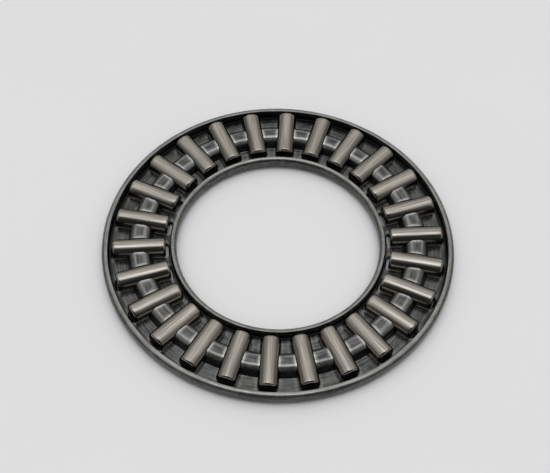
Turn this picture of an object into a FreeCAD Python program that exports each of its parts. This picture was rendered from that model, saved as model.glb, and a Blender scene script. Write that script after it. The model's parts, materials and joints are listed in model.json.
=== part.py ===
"""Axial needle roller and cage assembly for a 20 mm shaft in a 35 mm housing.

One pressed steel cage holds a ring of needle rollers, each in its own radial pocket.
The origin is on the bearing axis, in the plane that the rollers and the cage stand on, and +Z points
from that lower raceway to the upper one.
"""

import FreeCAD, Part
import math
import os
import re

import Sketcher

# The driving dimensions, in millimetres: alias, value, meaning.
DIMENSIONS = (
    ("bore_diameter", 20.1, "Cage bore, running on a 20 mm shaft"),
    ("outside_diameter", 34.8, "Cage outside, clear of a 35 mm housing"),
    ("pitch_diameter", 27.4, "Circle through the middles of the rollers"),
    ("roller_count", 26, "Rollers, and pockets in the cage"),
    ("roller_diameter", 2.0, "Distance between the two raceways"),
    ("roller_length", 5.2, "Roller over its flat ends"),
    ("roller_corner", 0.25, "Rounding between a roller's end and its side"),
    ("floor_thickness", 0.5, "Sheet at the cage's two flat floors"),
    ("inner_rim_thickness", 0.52, "Sheet at the rim round the bore"),
    ("outer_rim_thickness", 0.6, "Sheet at the outside rim"),
    ("rim_height", 1.53, "Top of both rims"),
    ("ridge_height", 1.66, "Top of the ridge between the two floors"),
    ("ridge_foot_width", 2.35, "Ridge where its sides leave the floors"),
    ("ridge_shoulder_width", 1.92, "Ridge at the top of its steep sides"),
    ("ridge_shoulder_height", 1.35, "Top of the ridge's steep sides"),
    ("ridge_crown_width", 1.0, "Flat top of the ridge"),
    ("channel_mouth_width", 1.64, "Hollow under the ridge, at the underside"),
    ("channel_roof_width", 0.9, "Hollow under the ridge, at its roof"),
    ("channel_depth", 1.22, "Hollow under the ridge, from underside to roof"),
    ("outer_bend", 0.6, "Bend between floor and rim, on the underside"),
    ("inner_bend", 0.12, "Bends on the upper side of the floors"),
    ("channel_bend", 0.4, "Bend between floor and ridge, on the underside"),
    ("roof_bend", 0.15, "Bend at the roof of the hollow"),
    ("shoulder_bend", 0.25, "Bend between the ridge's side and its shoulder"),
    ("crown_bend", 0.7, "Bend between the ridge's shoulder and its crown"),
    ("rim_edge", 0.42, "Rounding between the rims' walls and their tops"),
    ("rim_lip", 0.06, "Rounding of the rims' top edges beside the floors"),
    ("pocket_inner_gap", 0.24, "Gap between a roller's end and its pocket's end, towards the bore"),
    ("pocket_outer_gap", 0.06, "Gap between a roller's end and its pocket's end, towards the outside"),
    ("floor_slot_width", 1.7, "Pocket through the floors, under the roller's middle"),
    ("crown_slot_width", 1.64, "Pocket through the ridge's top, over the roller's middle"),
    ("pocket_clearance", 0.03, "Radial gap between a roller and the cage beside it"),
    ("cut_margin", 1.0, "How far a pocket's cut runs past the sheet, up and down"),
)
ALIASES = {alias for alias, _, _ in DIMENSIONS}

BORE = "bore_diameter / 2"
OUTSIDE = "outside_diameter / 2"
PITCH = "pitch_diameter / 2"
ROLLER_RADIUS = "roller_diameter / 2"

# The cage's W section before its bends are rounded, one turn round the sheet: corner, radius, height.
CAGE_SECTION = {
    "bore_bottom": (BORE, "0"),
    "bore_top": (BORE, "rim_height"),
    "inner_rim_top": (f"{BORE} + inner_rim_thickness", "rim_height"),
    "inner_rim_foot": (f"{BORE} + inner_rim_thickness", "floor_thickness"),
    "inner_ridge_foot": (f"{PITCH} - ridge_foot_width / 2", "floor_thickness"),
    "inner_shoulder": (f"{PITCH} - ridge_shoulder_width / 2", "ridge_shoulder_height"),
    "inner_crown": (f"{PITCH} - ridge_crown_width / 2", "ridge_height"),
    "outer_crown": (f"{PITCH} + ridge_crown_width / 2", "ridge_height"),
    "outer_shoulder": (f"{PITCH} + ridge_shoulder_width / 2", "ridge_shoulder_height"),
    "outer_ridge_foot": (f"{PITCH} + ridge_foot_width / 2", "floor_thickness"),
    "outer_rim_foot": (f"{OUTSIDE} - outer_rim_thickness", "floor_thickness"),
    "outer_rim_top": (f"{OUTSIDE} - outer_rim_thickness", "rim_height"),
    "outside_top": (OUTSIDE, "rim_height"),
    "outside_bottom": (OUTSIDE, "0"),
    "outer_channel_mouth": (f"{PITCH} + channel_mouth_width / 2", "0"),
    "outer_channel_roof": (f"{PITCH} + channel_roof_width / 2", "channel_depth"),
    "inner_channel_roof": (f"{PITCH} - channel_roof_width / 2", "channel_depth"),
    "inner_channel_mouth": (f"{PITCH} - channel_mouth_width / 2", "0"),
}

# Which corners each bend radius rounds.
CAGE_BENDS = {
    "outer_bend": ("bore_bottom", "outside_bottom"),
    "inner_bend": ("inner_rim_foot", "inner_ridge_foot", "outer_ridge_foot", "outer_rim_foot"),
    "channel_bend": ("inner_channel_mouth", "outer_channel_mouth"),
    "roof_bend": ("inner_channel_roof", "outer_channel_roof"),
    "shoulder_bend": ("inner_shoulder", "outer_shoulder"),
    "crown_bend": ("inner_crown", "outer_crown"),
    "rim_edge": ("bore_top", "outside_top"),
    "rim_lip": ("inner_rim_top", "outer_rim_top"),
}

# The numbers that stand for a line's or an arc's ends and centre, and a sketch's own axes and origin.
START, END, CENTRE = 1, 2, 3
HORIZONTAL_AXIS, VERTICAL_AXIS = -1, -2
SKETCH_ORIGIN = (-1, 1)
LENGTH_TOLERANCE = 1e-6
VOLUME_SHARE_TOLERANCE = 1e-3


def make_sheet(doc):
    """The spreadsheet that every sketch and feature reads its sizes from."""
    sheet = doc.addObject("Spreadsheet::Sheet", "Dimensions")
    for row, (alias, value, meaning) in enumerate(DIMENSIONS, start=1):
        sheet.set(f"A{row}", meaning)
        sheet.set(f"B{row}", str(value))
        sheet.setAlias(f"B{row}", alias)
    doc.recompute()
    return sheet


def bound(formula):
    """A formula over aliases, as an expression that names the spreadsheet they are in."""
    def name_sheet(word):
        return f"Dimensions.{word[0]}" if word[0] in ALIASES else word[0]

    return re.sub(r"[a-z_]+", name_sheet, formula)


def origin_feature(body, role):
    """One of a body's own origin planes or axes."""
    return next(item for item in body.Origin.OriginFeatures if item.Role == role)


def new_sketch(body, name, plane_role):
    """A sketch lying flat on one of the body's own origin planes."""
    sketch = body.newObject("Sketcher::SketchObject", name)
    sketch.AttachmentSupport = (origin_feature(body, plane_role), [""])
    sketch.MapMode = "FlatFace"
    return sketch


def add_size(sketch, kind, *where, value, formula):
    """A dimension that starts at value and is bound to the sheet by its formula."""
    index = sketch.addConstraint(Sketcher.Constraint(kind, *where, value))
    sketch.setExpression(f"Constraints[{index}]", bound(formula))


def add_rule(sketch, kind, *where):
    """A constraint with no size, such as Coincident or Vertical."""
    sketch.addConstraint(Sketcher.Constraint(kind, *where))


def close_loop(sketch, count):
    """Joins the end of each of a sketch's first count pieces to the start of the next."""
    for piece in range(count):
        add_rule(sketch, "Coincident", piece, END, (piece + 1) % count, START)


def draw_polygon(sheet, sketch, corners):
    """Draws a closed outline through corners given as (x formula, y formula). Returns its points."""
    points = [
        FreeCAD.Vector(sheet.evalExpression(x), sheet.evalExpression(y), 0) for x, y in corners
    ]
    for start, end in zip(points, points[1:] + points[:1]):
        sketch.addGeometry(Part.LineSegment(start, end), False)
    close_loop(sketch, len(points))
    for line, (point, (x, y)) in enumerate(zip(points, corners)):
        add_size(sketch, "DistanceX", *SKETCH_ORIGIN, line, START, value=point.x, formula=x)
        if y == "0":
            add_rule(sketch, "PointOnObject", line, START, HORIZONTAL_AXIS)
        else:
            add_size(sketch, "DistanceY", *SKETCH_ORIGIN, line, START, value=point.y, formula=y)
    return points


def turned(body, name, sketch, axis):
    """The sketch turned once round one of its own axes."""
    feature = body.newObject("PartDesign::Revolution", name)
    feature.Profile = sketch
    feature.ReferenceAxis = (sketch, [axis])
    feature.Angle = 360
    return feature


def rounded(body, base, name, radius, edges):
    """The base with the named edges rounded to the radius that the alias gives."""
    feature = body.newObject("PartDesign::Fillet", name)
    feature.Base = (base, edges)
    feature.setExpression("Radius", bound(radius))
    return feature


def ring_edge(shape, point):
    """The name of the circular edge round Z that runs through a section point (radius, height)."""
    for number, edge in enumerate(shape.Edges, start=1):
        if not isinstance(edge.Curve, Part.Circle):
            continue
        radius_gap = abs(edge.Curve.Radius - point.x)
        height_gap = abs(edge.Curve.Center.z - point.y)
        if max(radius_gap, height_gap) < LENGTH_TOLERANCE:
            return f"Edge{number}"
    raise RuntimeError(f"no ring edge at radius {point.x}, height {point.y}")


def draw_pocket(sheet, sketch):
    """Draws a pocket as seen along its roller: floor slot, round sides beside the roller, crown slot."""
    value = sheet.evalExpression
    middle = value(ROLLER_RADIUS)
    radius = value(f"{ROLLER_RADIUS} + pocket_clearance")
    floor_half = value("floor_slot_width / 2")
    crown_half = value("crown_slot_width / 2")
    bottom = value("-cut_margin")
    top = value("ridge_height + cut_margin")
    low_angle = -math.acos(floor_half / radius)
    high_angle = math.acos(crown_half / radius)
    low = middle + radius * math.sin(low_angle)
    high = middle + radius * math.sin(high_angle)
    circle = Part.Circle(FreeCAD.Vector(0, middle, 0), FreeCAD.Vector(0, 0, 1), radius)

    def line(x_start, y_start, x_end, y_end):
        ends = FreeCAD.Vector(x_start, y_start, 0), FreeCAD.Vector(x_end, y_end, 0)
        return sketch.addGeometry(Part.LineSegment(*ends), False)

    def arc(start_angle, end_angle):
        return sketch.addGeometry(Part.ArcOfCircle(circle, start_angle, end_angle), False)

    bottom_line = line(-floor_half, bottom, floor_half, bottom)
    right_floor = line(floor_half, bottom, floor_half, low)
    right_side = arc(low_angle, high_angle)
    right_crown = line(crown_half, high, crown_half, top)
    top_line = line(crown_half, top, -crown_half, top)
    left_crown = line(-crown_half, top, -crown_half, high)
    left_side = arc(math.pi - high_angle, math.pi - low_angle)
    left_floor = line(-floor_half, low, -floor_half, bottom)

    close_loop(sketch, left_floor + 1)
    for upright in (right_floor, right_crown, left_crown, left_floor):
        add_rule(sketch, "Vertical", upright)
    for level in (bottom_line, top_line):
        add_rule(sketch, "Symmetric", level, START, level, END, VERTICAL_AXIS)
    add_rule(sketch, "PointOnObject", right_side, CENTRE, VERTICAL_AXIS)
    add_rule(sketch, "Coincident", left_side, CENTRE, right_side, CENTRE)
    add_rule(sketch, "Equal", right_side, left_side)
    add_size(
        sketch, "Radius", right_side, value=radius, formula=f"{ROLLER_RADIUS} + pocket_clearance"
    )
    add_size(
        sketch, "DistanceY", *SKETCH_ORIGIN, right_side, CENTRE, value=middle, formula=ROLLER_RADIUS
    )
    add_size(
        sketch, "DistanceX", bottom_line, START, bottom_line, END,
        value=2 * floor_half, formula="floor_slot_width",
    )
    add_size(
        sketch, "DistanceX", top_line, END, top_line, START,
        value=2 * crown_half, formula="crown_slot_width",
    )
    add_size(
        sketch, "DistanceY", bottom_line, START, *SKETCH_ORIGIN, value=-bottom, formula="cut_margin"
    )
    add_size(
        sketch, "DistanceY", *SKETCH_ORIGIN, top_line, START,
        value=top, formula="ridge_height + cut_margin",
    )


def make_cage(doc, sheet):
    """The pressed cage: a W section turned round Z, its bends, and a ring of roller pockets."""
    body = doc.addObject("PartDesign::Body", "cage")
    section = new_sketch(body, "cage_section", "XZ_Plane")
    points = draw_polygon(sheet, section, CAGE_SECTION.values())
    corner = dict(zip(CAGE_SECTION, points))
    solid = turned(body, "cage_blank", section, "V_Axis")
    doc.recompute()
    for radius, corners in CAGE_BENDS.items():
        edges = [ring_edge(solid.Shape, corner[name]) for name in corners]
        solid = rounded(body, solid, f"cage_{radius}", radius, edges)
        doc.recompute()

    pocket_section = new_sketch(body, "pocket_section", "YZ_Plane")
    pocket_section.setExpression(
        ".AttachmentOffset.Base.z", bound(f"{PITCH} - roller_length / 2 - pocket_inner_gap")
    )
    draw_pocket(sheet, pocket_section)
    pocket = body.newObject("PartDesign::Pocket", "pocket")
    pocket.Profile = pocket_section
    pocket.Type = "Length"
    pocket.Reversed = True
    pocket.setExpression("Length", bound("roller_length + pocket_inner_gap + pocket_outer_gap"))
    doc.recompute()
    if pocket.Shape.Volume >= solid.Shape.Volume:
        raise RuntimeError("the first pocket cut nothing")

    ring = body.newObject("PartDesign::PolarPattern", "pocket_ring")
    ring.Originals = [pocket]
    ring.Axis = (origin_feature(body, "Z_Axis"), [""])
    ring.Angle = 360
    ring.setExpression("Occurrences", bound("roller_count"))
    body.Tip = ring
    doc.recompute()
    one_pocket = solid.Shape.Volume - pocket.Shape.Volume
    all_pockets = solid.Shape.Volume - ring.Shape.Volume
    share_cut = all_pockets / (one_pocket * sheet.get("roller_count"))
    if abs(share_cut - 1) > VOLUME_SHARE_TOLERANCE:
        raise RuntimeError("the ring of pockets isn't complete")
    return body


def make_roller(doc, sheet, number):
    """One needle roller, lying along a radius: a plain cylinder with rounded ends."""
    name = f"roller_{number:02d}"
    body = doc.addObject("PartDesign::Body", name)
    section = new_sketch(body, f"{name}_section", "XZ_Plane")
    inner_end = f"{PITCH} - roller_length / 2"
    outer_end = f"{PITCH} + roller_length / 2"
    corners = (
        (inner_end, "0"),
        (outer_end, "0"),
        (outer_end, ROLLER_RADIUS),
        (inner_end, ROLLER_RADIUS),
    )
    draw_polygon(sheet, section, corners)
    bar = turned(body, f"{name}_bar", section, "H_Axis")
    doc.recompute()
    end_rings = [
        f"Edge{place}"
        for place, edge in enumerate(bar.Shape.Edges, start=1)
        if isinstance(edge.Curve, Part.Circle)
    ]
    body.Tip = rounded(body, bar, f"{name}_ends", "roller_corner", end_rings)
    body.Placement = FreeCAD.Placement(
        FreeCAD.Vector(0, 0, 0), FreeCAD.Rotation(FreeCAD.Vector(0, 0, 1), 1)
    )
    body.setExpression(".Placement.Base.z", bound(ROLLER_RADIUS))
    body.setExpression(".Placement.Rotation.Angle", bound(f"360 * {number - 1} / roller_count"))
    return body


def check(doc, bodies):
    """Stops the script if any object failed, or a sub-part isn't one valid solid."""
    for item in doc.Objects:
        if {"Invalid", "Error"} & set(item.State):
            raise RuntimeError(f"{item.Name} is {item.State}")
    for body in bodies:
        shape = body.Shape
        if shape.isNull() or not shape.isValid() or len(shape.Solids) != 1:
            raise RuntimeError(f"{body.Label} isn't one valid solid")


def main():
    doc = FreeCAD.newDocument("needle_thrust_bearing")
    sheet = make_sheet(doc)
    bodies = [make_cage(doc, sheet)]
    for number in range(1, int(sheet.get("roller_count")) + 1):
        bodies.append(make_roller(doc, sheet, number))
    doc.recompute()
    check(doc, bodies)
    os.makedirs("parts", exist_ok=True)
    for body in bodies:
        body.Shape.exportStep(os.path.join("parts", f"{body.Label}.step"))


main()
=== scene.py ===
import json
import math
from collections import namedtuple

import bpy
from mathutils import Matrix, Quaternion, Vector


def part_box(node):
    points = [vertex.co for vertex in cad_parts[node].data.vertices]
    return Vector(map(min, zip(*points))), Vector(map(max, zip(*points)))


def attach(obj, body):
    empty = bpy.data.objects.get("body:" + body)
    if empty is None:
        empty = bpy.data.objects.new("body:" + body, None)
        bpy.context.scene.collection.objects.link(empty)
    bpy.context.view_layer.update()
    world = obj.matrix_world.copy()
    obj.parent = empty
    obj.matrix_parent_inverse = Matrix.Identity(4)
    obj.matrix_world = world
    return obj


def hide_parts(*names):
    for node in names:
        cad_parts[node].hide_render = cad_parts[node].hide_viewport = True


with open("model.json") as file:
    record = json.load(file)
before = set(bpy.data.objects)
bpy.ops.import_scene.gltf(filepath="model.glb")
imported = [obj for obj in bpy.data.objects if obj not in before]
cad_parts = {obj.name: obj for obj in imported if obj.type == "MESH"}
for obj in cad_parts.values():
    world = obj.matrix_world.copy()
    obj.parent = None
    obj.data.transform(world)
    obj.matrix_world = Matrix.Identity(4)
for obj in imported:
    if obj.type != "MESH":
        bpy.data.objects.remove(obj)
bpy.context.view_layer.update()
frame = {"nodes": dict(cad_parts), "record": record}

# ---------------------------------------------------------------------------------------------
# Sizes, in metres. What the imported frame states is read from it; the rest is named here.
# ---------------------------------------------------------------------------------------------
MM = 0.001

roller_low, roller_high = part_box("roller_01")
cage_low, cage_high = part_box("cage")
mounts = {mount["name"]: mount for mount in frame["record"]["mounts"]}
roller_nodes = sorted(name for name in frame["nodes"] if name.startswith("roller_"))

ROLLER_COUNT = len(roller_nodes)
SECTOR = 2 * math.pi / ROLLER_COUNT
ROLLER_RADIUS = (roller_high.z - roller_low.z) / 2
ROLLER_AXIS_HEIGHT = (roller_high.z + roller_low.z) / 2
ROLLER_LENGTH = roller_high.x - roller_low.x
PITCH_RADIUS = (roller_high.x + roller_low.x) / 2
OUTSIDE_RADIUS = cage_high.x
BORE_RADIUS = mounts["bore"]["dims"]["r_mm"] * MM
RIDGE_HEIGHT = cage_high.z

# The roller's ends.
ROLLER_CORNER = 0.25 * MM

# The cage's W section.
SHEET = 0.5 * MM
INNER_RIM = 0.52 * MM
OUTER_RIM = 0.6 * MM
RIM_HEIGHT = 1.53 * MM
RIDGE_FOOT = 2.35 * MM / 2
RIDGE_SHOULDER = 1.92 * MM / 2
RIDGE_SHOULDER_HEIGHT = 1.35 * MM
RIDGE_CROWN = 1.0 * MM / 2
CHANNEL_MOUTH = 1.64 * MM / 2
CHANNEL_ROOF = 0.9 * MM / 2
CHANNEL_DEPTH = 1.22 * MM
OUTER_BEND = 0.6 * MM
INNER_BEND = 0.12 * MM
CHANNEL_BEND = 0.4 * MM
ROOF_BEND = 0.15 * MM
SHOULDER_BEND = 0.25 * MM
CROWN_BEND = 0.7 * MM
RIM_EDGE = 0.42 * MM
RIM_LIP = 0.06 * MM

# The pockets.
POCKET_INNER_GAP = 0.24 * MM
POCKET_OUTER_GAP = 0.06 * MM
POCKET_CLEARANCE = 0.03 * MM
FLOOR_SLOT = 1.7 * MM / 2
CROWN_SLOT = 1.64 * MM / 2
INNER_REACH = ROLLER_LENGTH / 2 + POCKET_INNER_GAP
OUTER_REACH = ROLLER_LENGTH / 2 + POCKET_OUTER_GAP
POCKET_CORNER = 0.2 * MM
FLOOR_EDGE_ROUNDING = 0.02 * MM
RIDGE_EDGE_ROUNDING = 0.03 * MM

# How finely the meshes are drawn. The bar between two pockets has columns at these shares of its width.
BEND_STEPS = 5
EDGE_STEPS = 4
WALL_STEPS = 6
FLANK_STEPS = 3
POCKET_COLUMNS = 6
HALF_BAR_SHARES = (0.015, 0.08, 0.16, 0.27, 0.42)
BAR_SHARES = HALF_BAR_SHARES + tuple(1 - share for share in reversed(HALF_BAR_SHARES))
SUPPORT = 0.03 * MM
ROLLER_SIDES = 96
CORNER_STEPS = 8
BODY_STEPS = 12

# How far the cage is rubbed bright by wear and painted with highlight, from 0 to 1, and how far that and
# the painted shade in the corners reach.
RIM_WEAR_AND_HIGHLIGHT = 0.42
FLOOR_WEAR_AND_HIGHLIGHT = 0.2
SHOULDER_WEAR_AND_HIGHLIGHT = 0.45
FLOOR_WEAR_AND_HIGHLIGHT_REACH = (0.1 * MM, 0.5 * MM)
EDGE_WEAR_AND_HIGHLIGHT_REACH = (0.05 * MM, 0.38 * MM)
CORNER_SHADE_REACH = (0.12 * MM, 0.45 * MM)

# The rise of the surface's normal at which the painted highlight on faces turned up begins, and at which
# it is full.
FLOOR_HIGHLIGHT_RISE = (0.85, 0.97)
RIM_HIGHLIGHT_RISE = (0.4, 0.97)


def smooth_step(low, high, value):
    """0 below low, 1 above high, and a smooth rise between them."""
    share = min(max((value - low) / (high - low), 0), 1)
    return share * share * (3 - 2 * share)


def mixed(start, end, share):
    """The value that lies a share of the way from start to end."""
    return start + (end - start) * share


# ---------------------------------------------------------------------------------------------
# The cage: its W section, swept round with a ring of pockets through it
# ---------------------------------------------------------------------------------------------
def bend(before, corner, after, radius):
    """The points of the arc that rounds the section's corner between two straights."""
    back = (before - corner).normalized()
    ahead = (after - corner).normalized()
    half = back.angle(ahead) / 2
    centre = corner + (back + ahead).normalized() * (radius / math.sin(half))
    start = corner + back * (radius / math.tan(half)) - centre
    end = corner + ahead * (radius / math.tan(half)) - centre
    start_angle = math.atan2(start.y, start.x)
    turn = (math.atan2(end.y, end.x) - start_angle + math.pi) % (2 * math.pi) - math.pi
    angles = (start_angle + turn * step / BEND_STEPS for step in range(BEND_STEPS + 1))
    return [centre + Vector((math.cos(a), math.sin(a))) * radius for a in angles]


def evenly_between(start, end, count):
    """So many points at even steps between two others."""
    return [start.lerp(end, (step + 1) / (count + 1)) for step in range(count)]


def rim_section(wall_radius, inside_radius):
    """A rim from its bend at the underside, up its wall, over the top and down to the floor."""
    outer_foot = Vector((wall_radius, 0))
    outer_top = Vector((wall_radius, RIM_HEIGHT))
    inner_top = Vector((inside_radius, RIM_HEIGHT))
    inner_foot = Vector((inside_radius, SHEET))
    under = Vector((PITCH_RADIUS, 0))
    floor = Vector((PITCH_RADIUS, SHEET))
    inward = 1 if inside_radius > wall_radius else -1
    floor_end = Vector((inside_radius + inward * (INNER_BEND + SUPPORT), SHEET))
    middle_height = RIM_HEIGHT / 2
    return [
        *bend(under, outer_foot, outer_top, OUTER_BEND),
        Vector((wall_radius, middle_height)),
        *bend(outer_foot, outer_top, inner_top, RIM_EDGE),
        *bend(outer_top, inner_top, inner_foot, RIM_LIP),
        Vector((inside_radius, middle_height)),
        *bend(inner_top, inner_foot, floor, INNER_BEND),
        floor_end,
    ]


def ridge_half_sections(pocket_reach):
    """The upper and lower side of half the ridge, from a pocket's end to the ridge's middle.

    Both hold the same number of points, as (distance from the pitch circle, height).
    """
    end_above = Vector((pocket_reach, SHEET))
    foot = Vector((RIDGE_FOOT, SHEET))
    shoulder = Vector((RIDGE_SHOULDER, RIDGE_SHOULDER_HEIGHT))
    crown = Vector((RIDGE_CROWN, RIDGE_HEIGHT))
    middle_above = Vector((0, RIDGE_HEIGHT))
    foot_bend = bend(end_above, foot, shoulder, INNER_BEND)
    shoulder_bend = bend(foot, shoulder, crown, SHOULDER_BEND)
    above = [
        end_above,
        end_above - Vector((POCKET_CORNER + SUPPORT, 0)),
        (end_above + foot) / 2,
        *foot_bend,
        *evenly_between(foot_bend[-1], shoulder_bend[0], FLANK_STEPS),
        *shoulder_bend,
        *bend(shoulder, crown, middle_above, CROWN_BEND),
        middle_above,
    ]
    end_below = Vector((pocket_reach, 0))
    mouth = Vector((CHANNEL_MOUTH, 0))
    roof = Vector((CHANNEL_ROOF, CHANNEL_DEPTH))
    middle_below = Vector((0, CHANNEL_DEPTH))
    mouth_bend = bend(end_below, mouth, roof, CHANNEL_BEND)
    roof_bend = bend(mouth, roof, middle_below, ROOF_BEND)
    below = [
        end_below,
        end_below - Vector((POCKET_CORNER + SUPPORT, 0)),
        (end_below + mouth) / 2,
        *mouth_bend,
        *evenly_between(mouth_bend[-1], roof_bend[0], FLANK_STEPS + len(shoulder_bend)),
        *roof_bend,
        middle_below,
    ]
    return above, below


def ridge_sections():
    """The whole ridge's upper and lower side, from the inner pocket end to the outer one."""
    for inner, outer in zip(ridge_half_sections(INNER_REACH), ridge_half_sections(OUTER_REACH)):
        before = [Vector((PITCH_RADIUS - point.x, point.y)) for point in inner]
        after = [Vector((PITCH_RADIUS + point.x, point.y)) for point in outer[:-1]]
        yield before + after[::-1]


def pocket_end(end, column, back=0):
    """Where a pocket ends along its roller: end is -1 towards the bore and 1 towards the outside.

    The pocket's corners, which are its first and last column, are cut across.
    """
    reach = INNER_REACH if end < 0 else OUTER_REACH
    corner = POCKET_CORNER if column in (0, POCKET_COLUMNS) else 0
    return PITCH_RADIUS + end * (reach + back - corner)


def outward_normals(loop):
    """The outward normal at each point of the closed section, which runs clockwise."""
    normals = []
    for place in range(len(loop)):
        run = loop[(place + 1) % len(loop)] - loop[place - 1]
        normals.append(Vector((-run.y, run.x)).normalized())
    return normals


def pocket_half_width(height):
    """Half a pocket's width: straight slots through the floor and the crown, round between."""
    rise = height - ROLLER_AXIS_HEIGHT
    reach = ROLLER_RADIUS + POCKET_CLEARANCE
    flank = math.sqrt(max(reach * reach - rise * rise, 0))
    return max(flank, FLOOR_SLOT if rise < 0 else CROWN_SLOT)


def upper_edge_rounding(height):
    """The pocket's upper edge is rolled over on the ridge and only broken on the floors."""
    share = smooth_step(SHEET, RIDGE_SHOULDER_HEIGHT, height)
    return mixed(FLOOR_EDGE_ROUNDING, RIDGE_EDGE_ROUNDING, share)


Row = namedtuple("Row", "radius height half end")


class CageMesh:
    """The cage's vertices and faces. Rows follow the section and columns run round the ring."""

    def __init__(self):
        above, below = ridge_sections()
        inner_rim = rim_section(BORE_RADIUS, BORE_RADIUS + INNER_RIM)
        outer_rim = rim_section(OUTSIDE_RADIUS, OUTSIDE_RADIUS - OUTER_RIM)[::-1]
        loop = inner_rim + above + outer_rim + below[::-1]
        normals = outward_normals(loop)
        self.above_start = len(inner_rim)
        self.chain = len(above)
        self.below_start = self.above_start + self.chain + len(outer_rim)
        self.above = list(zip(above, normals[self.above_start:]))
        self.below = list(zip(below[::-1], normals[self.below_start:]))[::-1]
        self.rows = [self.row(place, point) for place, point in enumerate(loop)]
        self.columns = POCKET_COLUMNS + 1 + len(BAR_SHARES)
        self.vertices = []
        self.faces = []

    def row(self, place, point):
        """A section point with the pocket's half width there, and its straight end if it has one."""
        over = place - self.above_start
        under = place - self.below_start
        rounding, half, end = FLOOR_EDGE_ROUNDING, FLOOR_SLOT, 0
        if 0 <= over < self.chain:
            rounding = upper_edge_rounding(point.y)
        if 0 <= over < self.chain or under >= 0:
            half = pocket_half_width(point.y)
        if over == 0 or under == self.chain - 1:
            end = -1
        if over == self.chain - 1 or under == 0:
            end = 1
        return Row(point.x, point.y, half + rounding, end)

    def in_pocket(self, place):
        """Which ridge side a row belongs to: above, below or None."""
        if self.above_start <= place < self.above_start + self.chain:
            return "above"
        return "below" if place >= self.below_start else None

    def add(self, pocket, along, across, height):
        """Adds a vertex given along and across a pocket's roller, and returns its number."""
        angle = pocket * SECTOR
        x = along * math.cos(angle) - across * math.sin(angle)
        y = along * math.sin(angle) + across * math.cos(angle)
        self.vertices.append((x, y, height))
        return len(self.vertices) - 1

    def add_row(self, place):
        """Adds one row's vertices round the ring. A column inside a pocket's opening is None."""
        row = self.rows[place]
        numbers = []
        radius = row.radius
        if row.end:
            radius = math.hypot(pocket_end(row.end, 0, FLOOR_EDGE_ROUNDING), row.half)
        edge_angle = math.asin(row.half / radius)
        for pocket in range(ROLLER_COUNT):
            for column in range(self.columns):
                inside = 0 < column < POCKET_COLUMNS
                if inside and self.in_pocket(place) and not row.end:
                    numbers.append(None)
                    continue
                if column <= POCKET_COLUMNS:
                    across = row.half * (2 * column / POCKET_COLUMNS - 1)
                    along = math.sqrt(radius**2 - across**2)
                    if row.end:
                        along = pocket_end(row.end, column, FLOOR_EDGE_ROUNDING)
                    numbers.append(self.add(pocket, along, across, row.height))
                    continue
                share = BAR_SHARES[column - POCKET_COLUMNS - 1]
                angle = mixed(edge_angle, SECTOR - edge_angle, share)
                numbers.append(
                    self.add(pocket, radius * math.cos(angle), radius * math.sin(angle), row.height)
                )
        return numbers

    def add_sheet(self):
        """The swept surface itself, open where the pockets are."""
        self.grid = [self.add_row(place) for place in range(len(self.rows))]
        around = ROLLER_COUNT * self.columns
        for place, numbers in enumerate(self.grid):
            after = (place + 1) % len(self.grid)
            side = self.in_pocket(place)
            both_open = side is not None and side == self.in_pocket(after)
            for column in range(around):
                if both_open and column % self.columns < POCKET_COLUMNS:
                    continue
                following = (column + 1) % around
                self.faces.append((
                    numbers[column], self.grid[after][column],
                    self.grid[after][following], numbers[following],
                ))

    def pocket_outline(self):
        """Once round a pocket's opening, as (place in the ridge section, column)."""
        last = self.chain - 1
        right = [(place, POCKET_COLUMNS) for place in range(self.chain)]
        outer_end = [(last, column) for column in range(POCKET_COLUMNS - 1, 0, -1)]
        left = [(place, 0) for place in range(last, -1, -1)]
        inner_end = [(0, column) for column in range(1, POCKET_COLUMNS)]
        return right + outer_end + left + inner_end

    def rings(self, place):
        """The steps of a pocket's wall, from just under its upper edge to just over its lower one.

        Each is (radius, height, how far the wall stands back there).
        """
        top, top_normal = self.above[place]
        bottom, bottom_normal = self.below[place]

        def edge(point, normal, rounding, step):
            turn = math.pi / 2 * step / EDGE_STEPS
            sunk = point - normal * (rounding * (1 - math.cos(turn)))
            return sunk.x, sunk.y, rounding * (1 - math.sin(turn))

        rounding = upper_edge_rounding(top.y)
        upper = [edge(top, top_normal, rounding, step) for step in range(1, EDGE_STEPS + 1)]
        lower = [
            edge(bottom, bottom_normal, FLOOR_EDGE_ROUNDING, step)
            for step in range(EDGE_STEPS, 0, -1)
        ]
        wall = []
        for step in range(1, WALL_STEPS):
            share = step / WALL_STEPS
            radius = mixed(upper[-1][0], lower[0][0], share)
            height = mixed(upper[-1][1], lower[0][1], share)
            wall.append((radius, height, 0))
        return upper + wall + lower

    def add_pocket(self, pocket):
        """The wall all round one pocket, joined to the sheet's upper and lower side."""
        first = pocket * self.columns
        bands = []
        for place, column in self.pocket_outline():
            fraction = 2 * column / POCKET_COLUMNS - 1
            end = (place == self.chain - 1) - (place == 0)
            band = [self.grid[self.above_start + place][first + column]]
            for radius, height, back in self.rings(place):
                across = fraction * (pocket_half_width(height) + back)
                if end:
                    along = pocket_end(end, column, back)
                else:
                    along = math.sqrt(radius**2 - across**2)
                band.append(self.add(pocket, along, across, height))
            under = self.below_start + self.chain - 1 - place
            band.append(self.grid[under][first + column])
            bands.append(band)
        for number, band in enumerate(bands):
            following = bands[(number + 1) % len(bands)]
            for step in range(len(band) - 1):
                self.faces.append((band[step], following[step], following[step + 1], band[step + 1]))

    def build(self):
        self.add_sheet()
        for pocket in range(ROLLER_COUNT):
            self.add_pocket(pocket)
        return self.vertices, self.faces


def new_piece(name, vertices, faces):
    """A smooth-shaded mesh object in the scene."""
    mesh = bpy.data.meshes.new(name)
    mesh.from_pydata(vertices, [], faces)
    mesh.validate()
    mesh.shade_smooth()
    piece = bpy.data.objects.new(name, mesh)
    bpy.context.scene.collection.objects.link(piece)
    return piece


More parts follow.
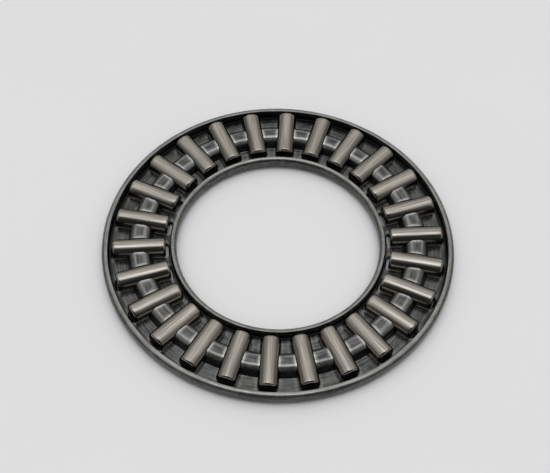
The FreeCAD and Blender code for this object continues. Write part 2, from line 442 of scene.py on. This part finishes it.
def wear_and_highlight_at(point, normal):
    """How far the cage is painted bright there, partly for wear and partly as painted highlight on faces
    turned up to the light: most on the ridge's edges, less elsewhere.
    """
    radius = math.hypot(point.x, point.y)
    angle = math.atan2(point.y, point.x)
    across = abs(radius * math.sin(angle - round(angle / SECTOR) * SECTOR))
    from_edge = across - pocket_half_width(point.z)
    from_pitch = abs(radius - PITCH_RADIUS)
    if from_pitch > RIDGE_FOOT and point.z < 1.1 * SHEET:
        near_pocket = 1 - smooth_step(*FLOOR_WEAR_AND_HIGHLIGHT_REACH, from_edge)
        return FLOOR_WEAR_AND_HIGHLIGHT * near_pocket * smooth_step(*FLOOR_HIGHLIGHT_RISE, normal.z)
    if from_pitch > RIDGE_FOOT:
        on_top = smooth_step(SHEET, RIM_HEIGHT, point.z)
        return RIM_WEAR_AND_HIGHLIGHT * on_top * smooth_step(*RIM_HIGHLIGHT_RISE, normal.z)
    off_crown = smooth_step(RIDGE_CROWN * 0.5, RIDGE_CROWN, from_pitch)
    near_edge = 1 - smooth_step(*EDGE_WEAR_AND_HIGHLIGHT_REACH, from_edge)
    up = smooth_step(RIDGE_SHOULDER_HEIGHT, RIDGE_HEIGHT * 0.97, point.z) * max(normal.z, 0)
    return up * max(SHOULDER_WEAR_AND_HIGHLIGHT * off_crown, near_edge)


def corner_shade_at(point):
    """How much painted shade darkens there: all of it in the corners below the rims."""
    radius = math.hypot(point.x, point.y)
    from_inner = radius - (BORE_RADIUS + INNER_RIM)
    from_outer = OUTSIDE_RADIUS - OUTER_RIM - radius
    from_corner = math.hypot(min(from_inner, from_outer), max(point.z - SHEET, 0))
    return 1 - smooth_step(*CORNER_SHADE_REACH, from_corner)


def add_attribute(mesh, name, values):
    """Keeps a number for each of the mesh's vertices, for its material to read."""
    mesh.attributes.new(name, "FLOAT", "POINT").data.foreach_set("value", values)


def make_cage():
    cage = new_piece("pressed_cage", *CageMesh().build())
    vertices = cage.data.vertices
    # Wear with painted highlight on the edges and on faces turned up, kept on the vertices.
    add_attribute(cage.data, "wear_and_highlight", [wear_and_highlight_at(vertex.co, vertex.normal) for vertex in vertices])
    # Painted shade in the corners below the rims, kept on the vertices.
    add_attribute(cage.data, "corner_shade", [corner_shade_at(vertex.co) for vertex in vertices])
    cage.data.materials.append(cage_material())
    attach(cage, "cage")
    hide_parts("cage")


# ---------------------------------------------------------------------------------------------
# The rollers: one turned mesh, shown once for each roller body
# ---------------------------------------------------------------------------------------------
def roller_profile():
    """The roller's outline from the middle of one end to the middle of the other (along, radius)."""
    half = ROLLER_LENGTH / 2
    end = [
        (half, ROLLER_RADIUS / 2),
        (half, ROLLER_RADIUS - ROLLER_CORNER * 1.2),
    ]
    for step in range(CORNER_STEPS + 1):
        turn = math.pi / 2 * step / CORNER_STEPS
        along = half - ROLLER_CORNER * (1 - math.cos(turn))
        radius = ROLLER_RADIUS - ROLLER_CORNER * (1 - math.sin(turn))
        end.append((along, radius))
    straight = half - ROLLER_CORNER
    body = [
        (straight * (1 - 2 * step / BODY_STEPS), ROLLER_RADIUS) for step in range(1, BODY_STEPS)
    ]
    return end + body + [(-along, radius) for along, radius in reversed(end)]


def roller_mesh():
    """The profile turned about the first roller's axis, which lies on +X."""
    vertices, faces = [], []
    profile = roller_profile()
    for along, radius in profile:
        for side in range(ROLLER_SIDES):
            angle = 2 * math.pi * side / ROLLER_SIDES
            y = radius * math.sin(angle)
            z = ROLLER_AXIS_HEIGHT + radius * math.cos(angle)
            vertices.append((PITCH_RADIUS + along, y, z))
    for ring in range(len(profile) - 1):
        for side in range(ROLLER_SIDES):
            following = (side + 1) % ROLLER_SIDES
            low, high = ring * ROLLER_SIDES, (ring + 1) * ROLLER_SIDES
            faces.append((low + side, high + side, high + following, low + following))
    faces.append(tuple(range(ROLLER_SIDES)))
    last = (len(profile) - 1) * ROLLER_SIDES
    faces.append(tuple(last + side for side in reversed(range(ROLLER_SIDES))))
    return vertices, faces


def make_rollers():
    first = new_piece("needle_01", *roller_mesh())
    first.data.materials.append(roller_material())
    for number, node in enumerate(roller_nodes):
        roller = first
        if number:
            roller = bpy.data.objects.new(f"needle_{number + 1:02d}", first.data)
            bpy.context.scene.collection.objects.link(roller)
        roller.rotation_euler.z = number * SECTOR
        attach(roller, node)
        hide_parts(node)


# ---------------------------------------------------------------------------------------------
# Materials
# ---------------------------------------------------------------------------------------------
# A mix node's sockets for two colours and for the colour between them.
MIX_FIRST, MIX_SECOND, MIX_RESULT = 6, 7, 2


class Nodes:
    """Adds nodes to a tree and joins them, so that a material reads as a list of steps."""

    def __init__(self, tree):
        self.tree = tree
        tree.nodes.clear()

    def add(self, kind, inputs=None, **settings):
        """A new node. Each input is a plain value or another node's output."""
        node = self.tree.nodes.new(kind)
        for name, value in settings.items():
            setattr(node, name, value)
        for key, value in (inputs or {}).items():
            if isinstance(value, bpy.types.NodeSocket):
                self.tree.links.new(value, node.inputs[key])
            else:
                node.inputs[key].default_value = value
        return node

    def math(self, operation, *values):
        return self.add("ShaderNodeMath", dict(enumerate(values)), operation=operation).outputs[0]

    def product(self, *values):
        return self.math("MULTIPLY", *values)

    def noise(self, vector, scale, detail=3.0, roughness=0.55):
        inputs = {"Vector": vector, "Scale": scale, "Detail": detail, "Roughness": roughness}
        return self.add("ShaderNodeTexNoise", inputs).outputs["Fac"]

    def between(self, value, low, high, to_low=0.0, to_high=1.0):
        """Maps a value from one range to another, smoothly and held at both ends."""
        inputs = dict(enumerate((value, low, high, to_low, to_high)))
        return self.add("ShaderNodeMapRange", inputs, interpolation_type="SMOOTHSTEP").outputs[0]

    def blend(self, share, first, second):
        """The number that lies a share of the way from the first to the second."""
        rest = self.math("SUBTRACT", 1.0, share)
        return self.math("ADD", self.product(first, rest), self.product(second, share))

    def mix_colour(self, share, first, second):
        inputs = {"Factor": share, MIX_FIRST: first, MIX_SECOND: second}
        return self.add("ShaderNodeMix", inputs, data_type="RGBA").outputs[MIX_RESULT]

    def combine(self, x, y, z):
        return self.add("ShaderNodeCombineXYZ", {0: x, 1: y, 2: z}).outputs[0]

    def split(self, vector):
        return self.add("ShaderNodeSeparateXYZ", {0: vector}).outputs

    def coordinates(self, kind):
        return self.add("ShaderNodeTexCoord").outputs[kind]


def new_material(name):
    material = bpy.data.materials.new(name)
    material.use_nodes = True
    return material, Nodes(material.node_tree)


def surface_output(nodes, inputs):
    """Ends a material with a surface shader that has the given inputs."""
    shader = nodes.add("ShaderNodeBsdfPrincipled", inputs)
    nodes.add("ShaderNodeOutputMaterial", {"Surface": shader.outputs[0]})


def metal_output(nodes, colour, metallic, roughness, height, bump_distance, strength):
    bump = nodes.add(
        "ShaderNodeBump", {"Height": height, "Distance": bump_distance, "Strength": strength}
    )
    surface_output(nodes, {
        "Base Color": colour,
        "Metallic": metallic,
        "Roughness": roughness,
        "Normal": bump.outputs[0],
    })


# Colours, all linear.
DARK_STEEL = (0.035, 0.037, 0.036, 1)
WORN_STEEL = (0.115, 0.118, 0.113, 1)
# Rubbed metal, also used as painted highlight on faces turned up.
RUBBED_AND_LIT_STEEL = (0.5, 0.495, 0.47, 1)
# Painted shade, for the corners below the rims.
CORNER_SHADE_COLOUR = (0.008, 0.008, 0.008, 1)
ROLLER_STEEL = (0.355, 0.335, 0.297, 1)
ROLLER_STREAK = (0.225, 0.21, 0.187, 1)
TABLE_DARKEST = (0.737, 0.741, 0.753, 1)
TABLE_LIGHTEST = (0.757, 0.76, 0.768, 1)

# How much of the cage's colour and of its relief is mottled, not brushed round the ring.
MOTTLE_SHARE = 0.3
MOTTLE_RELIEF = 0.1

# Grains to the metre: across the brushing and the rollers' streaks, along a roller, in the mottle and in
# the rollers' own grain. The last is how many grains of the brushing follow each other in a radian.
FINE_GRAIN = 6000.0
STREAK_GRAIN = 260.0
MOTTLE_GRAIN = 1500.0
ROLLER_GRAIN = 5000.0
BRUSH_GRAIN = 7.0

# How far apart one roller's streaks lie from another's, in grains.
ROLLER_SHIFT = 50.0

# How high the relief stands.
CAGE_RELIEF = 0.012 * MM
ROLLER_RELIEF = 0.004 * MM


def cage_material():
    """Dark, oiled pressed steel, brushed round the ring, rubbed bright where it wears, with painted
    highlight on faces turned up and painted shade in the corners below the rims.
    """
    material, nodes = new_material("cage_steel")
    position = nodes.coordinates("Object")
    x, y, z = nodes.split(position)
    radius = nodes.math("SQRT", nodes.math("ADD", nodes.product(x, x), nodes.product(y, y)))
    round_ring = nodes.combine(
        nodes.product(nodes.math("DIVIDE", x, radius), BRUSH_GRAIN),
        nodes.product(nodes.math("DIVIDE", y, radius), BRUSH_GRAIN),
        nodes.product(nodes.math("ADD", radius, z), FINE_GRAIN),
    )
    brushed = nodes.noise(round_ring, 1.0, detail=4.0, roughness=0.65)
    mottle = nodes.noise(position, MOTTLE_GRAIN, detail=4.0, roughness=0.65)
    # The share of wear and painted highlight, read from the mesh.
    wear_and_highlight_share = nodes.add("ShaderNodeAttribute", attribute_name="wear_and_highlight").outputs["Fac"]
    # The painted shade in the corners below the rims, read from the mesh.
    corner_shade = nodes.add("ShaderNodeAttribute", attribute_name="corner_shade").outputs["Fac"]
    pattern = nodes.blend(MOTTLE_SHARE, brushed, mottle)
    relief = nodes.blend(MOTTLE_RELIEF, brushed, mottle)
    rubbed_and_lit = nodes.product(wear_and_highlight_share, nodes.between(pattern, 0.35, 0.65, 0.6, 1.0))
    base = nodes.mix_colour(nodes.between(pattern, 0.38, 0.62), DARK_STEEL, WORN_STEEL)
    worn_and_lit = nodes.mix_colour(rubbed_and_lit, base, RUBBED_AND_LIT_STEEL)
    # Painted shade darkens the corners below the rims.
    colour = nodes.mix_colour(corner_shade, worn_and_lit, CORNER_SHADE_COLOUR)
    roughness = nodes.between(mottle, 0.25, 0.75, 0.16, 0.3)
    metal_output(nodes, colour, 0.8, roughness, relief, CAGE_RELIEF, 0.7)
    return material


def roller_material():
    """Satin bearing steel with faint streaks along each roller."""
    material, nodes = new_material("roller_steel")
    position = nodes.coordinates("Object")
    own = nodes.add("ShaderNodeObjectInfo").outputs["Random"]
    x, y, z = nodes.split(position)
    lengthwise = nodes.combine(
        nodes.math("ADD", nodes.product(x, STREAK_GRAIN), nodes.product(own, ROLLER_SHIFT)),
        nodes.product(y, FINE_GRAIN),
        nodes.product(z, FINE_GRAIN),
    )
    streaks = nodes.noise(lengthwise, 1.0, detail=4.0, roughness=0.6)
    grain = nodes.noise(position, ROLLER_GRAIN, detail=2.0)
    colour = nodes.mix_colour(nodes.between(streaks, 0.35, 0.65), ROLLER_STREAK, ROLLER_STEEL)
    roughness = nodes.between(streaks, 0.3, 0.7, 0.14, 0.24)
    relief = nodes.blend(0.2, streaks, grain)
    metal_output(nodes, colour, 1.0, roughness, relief, ROLLER_RELIEF, 0.5)
    return material


def table_material():
    """A plain pale matt table."""
    material, nodes = new_material("pale_table")
    cloud = nodes.noise(nodes.coordinates("Object"), 40.0, detail=2.0)
    surface_output(nodes, {
        "Base Color": nodes.mix_colour(cloud, TABLE_DARKEST, TABLE_LIGHTEST),
        "Roughness": 0.8,
        "Specular IOR Level": 0.1,
    })
    return material


# ---------------------------------------------------------------------------------------------
# Floor, light and camera
# ---------------------------------------------------------------------------------------------
FLOOR_SIZE = 4.0

# Where the camera stands round the bearing, and how it is turned from looking straight at the middle.
CAMERA_AZIMUTH = math.radians(-4.69)
CAMERA_ELEVATION = math.radians(55.05)
CAMERA_DISTANCE = 6.584 * OUTSIDE_RADIUS
CAMERA_ROLL = math.radians(1.39)
CAMERA_PAN = math.radians(0.156)
CAMERA_TILT = math.radians(0.16)
LENS = 75.9
SENSOR = 36.0


def make_floor():
    half = FLOOR_SIZE / 2
    floor = new_piece(
        "table",
        [(-half, -half, 0), (half, -half, 0), (half, half, 0), (-half, half, 0)],
        [(0, 1, 2, 3)],
    )
    floor.data.materials.append(table_material())


def camera_side():
    """The level direction from the bearing's middle towards the camera."""
    return Vector((math.sin(CAMERA_AZIMUTH), -math.cos(CAMERA_AZIMUTH), 0))


# The tent's brightness by the sine of the height above level, as (sine, brightness): its side walls,
# its far wall and its open front as the metal mirrors them, and what lights the matt surfaces.
TENT_SIDES = (
    (0.0, 0.1), (0.26, 0.22), (0.44, 0.38), (0.57, 0.58),
    (0.82, 1.0), (0.92, 1.3), (0.975, 1.9), (1.0, 3.0),
)
TENT_BACK = (
    (0.0, 0.3), (0.26, 0.55), (0.57, 0.85), (0.82, 1.12), (0.92, 1.35), (0.975, 1.9), (1.0, 3.0),
)
TENT_FRONT = ((0.0, 0.03), (0.86, 0.05), (0.93, 0.2), (0.965, 0.9), (0.985, 1.9), (1.0, 3.0))
TENT_OVERHEAD = ((0.0, 0.32), (0.5, 0.45), (0.8, 0.76), (0.92, 2.0), (1.0, 4.0))
WALL_TINT = (1.0, 0.99, 0.975, 1)
OVERHEAD_TINT = (0.99, 0.99, 1.01, 1)
BACKDROP = (0.73, 0.73, 0.745, 1)


def brightness_ramp(nodes, sine, stops):
    """Brightness over the sine of the height, from a ramp whose colours are scaled to 0 to 1."""
    top = max(value for _, value in stops)
    ramp = nodes.add("ShaderNodeValToRGB", {0: sine})
    elements = ramp.color_ramp.elements
    while len(elements) < len(stops):
        elements.new(0.5)
    for element, (place, value) in zip(elements, stops):
        element.position = place
        element.color = (value / top,) * 3 + (1,)
    return nodes.product(ramp.outputs[0], top)


def make_light():
    """A soft light tent, brightest overhead and open towards the camera."""
    world = bpy.data.worlds.new("light_tent")
    world.use_nodes = True
    bpy.context.scene.world = world
    nodes = Nodes(world.node_tree)
    path = nodes.add("ShaderNodeLightPath")
    x, y, sine = nodes.split(nodes.coordinates("Generated"))
    level = nodes.combine(x, y, 0.0)
    unit = nodes.add("ShaderNodeVectorMath", {0: level}, operation="NORMALIZE").outputs[0]
    inputs = {0: unit, 1: camera_side()}
    towards = nodes.add("ShaderNodeVectorMath", inputs, operation="DOT_PRODUCT").outputs["Value"]
    front = nodes.between(towards, 0.3, 0.8)
    back = nodes.between(towards, -0.45, -0.95)
    sides = brightness_ramp(nodes, sine, TENT_SIDES)
    far_wall = brightness_ramp(nodes, sine, TENT_BACK)
    opening = brightness_ramp(nodes, sine, TENT_FRONT)
    overhead = brightness_ramp(nodes, sine, TENT_OVERHEAD)
    mirrored = nodes.blend(front, nodes.blend(back, sides, far_wall), opening)
    light = nodes.blend(path.outputs["Is Diffuse Ray"], mirrored, overhead)
    tint = nodes.mix_colour(nodes.between(sine, 0.8, 1.0), WALL_TINT, OVERHEAD_TINT)
    tent = nodes.add("ShaderNodeBackground", {"Color": tint, "Strength": light})
    backdrop = nodes.add("ShaderNodeBackground", {"Color": BACKDROP})
    seen = {0: path.outputs["Is Camera Ray"], 1: tent.outputs[0], 2: backdrop.outputs[0]}
    mix = nodes.add("ShaderNodeMixShader", seen)
    nodes.add("ShaderNodeOutputWorld", {"Surface": mix.outputs[0]})
    bpy.context.scene.view_settings.view_transform = "Standard"


def make_camera():
    data = bpy.data.cameras.new("camera")
    data.lens = LENS
    data.sensor_width = SENSOR
    data.clip_start = 1 * MM
    data.clip_end = FLOOR_SIZE
    camera = bpy.data.objects.new("camera", data)
    bpy.context.scene.collection.objects.link(camera)
    back = camera_side() * math.cos(CAMERA_ELEVATION) + Vector((0, 0, math.sin(CAMERA_ELEVATION)))
    camera.location = Vector((0, 0, RIM_HEIGHT)) + back * CAMERA_DISTANCE
    camera.rotation_mode = "QUATERNION"
    camera.rotation_quaternion = (
        (-back).to_track_quat("-Z", "Y")
        @ Quaternion((0, 0, 1), CAMERA_ROLL)
        @ Quaternion((0, 1, 0), CAMERA_PAN)
        @ Quaternion((1, 0, 0), CAMERA_TILT)
    )
    bpy.context.scene.camera = camera


make_cage()
make_rollers()
make_floor()
make_light()
make_camera()
